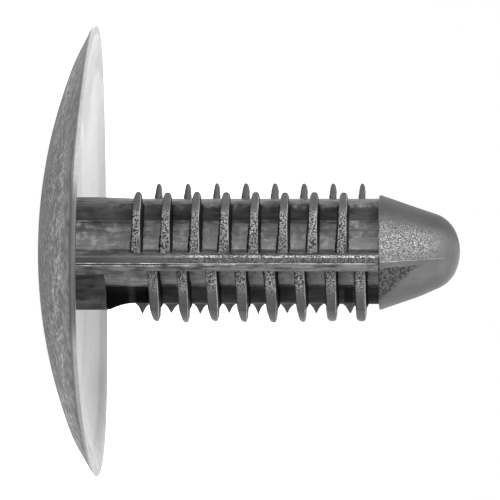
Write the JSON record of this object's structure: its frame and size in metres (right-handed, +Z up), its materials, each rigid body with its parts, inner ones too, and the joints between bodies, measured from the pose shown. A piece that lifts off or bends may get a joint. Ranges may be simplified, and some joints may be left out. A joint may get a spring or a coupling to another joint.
{
  "type": "push-in trim clip",
  "caption": "Push-in panel clip with a wide domed head, a finned fir-tree stem and a blunt cone nose, for holding trim or insulation to a drilled panel.",
  "frame": {"origin": "middle of the small flat on the crown of the domed head, on the axis, where the clip stands", "axes": "+Z up along the stem to the nose, +Y along the ribs in the mould's parting plane, +X along the web with the broader root"},
  "size_m": [0.03, 0.03, 0.0279],
  "materials": {
    "nylon": "dark grey moulded nylon, spark-eroded grain"
  },
  "bodies": {
    "root": {"trim_clip": "nylon"}
  },
  "joints": []
}
